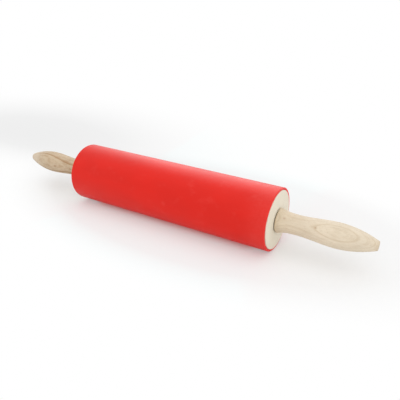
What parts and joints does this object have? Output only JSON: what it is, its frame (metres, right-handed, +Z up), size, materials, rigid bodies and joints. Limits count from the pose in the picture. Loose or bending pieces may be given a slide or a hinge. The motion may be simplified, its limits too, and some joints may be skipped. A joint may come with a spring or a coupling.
{
  "type": "rolling pin",
  "caption": "Rolling pin with a red silicone sleeve on a wooden barrel that spins on a steel axle between two turned wooden handles.",
  "frame": {"origin": "the point on the surface under the middle of the barrel, at the bottom of the sleeve", "axes": "+X along the pin from the left handle to the right handle, +Z up, +Y away from the viewer"},
  "size_m": [0.4006, 0.06, 0.0599],
  "materials": {
    "red_silicone": "satin red silicone",
    "core_wood": "pale end grain, sanded, unvarnished",
    "handle_wood": "pale turned beech, sanded, unvarnished",
    "white_nylon": "moulded nylon",
    "bright_steel": "drawn bright steel"
  },
  "bodies": {
    "barrel": {"silicone_sleeve": "red_silicone", "barrel_core": "core_wood", "left_bearing_bush": "white_nylon", "right_bearing_bush": "white_nylon"},
    "axle": {"axle_rod": "bright_steel", "left_thrust_washer": "bright_steel", "right_thrust_washer": "bright_steel", "left_handle": "handle_wood", "right_handle": "handle_wood"}
  },
  "joints": [
    {"name": "axle_spin", "type": "hinge", "parent": "barrel", "child": "axle", "pos_m": [0, 0, 0.02997], "axis": [1, 0, 0], "continuous": true}
  ]
}
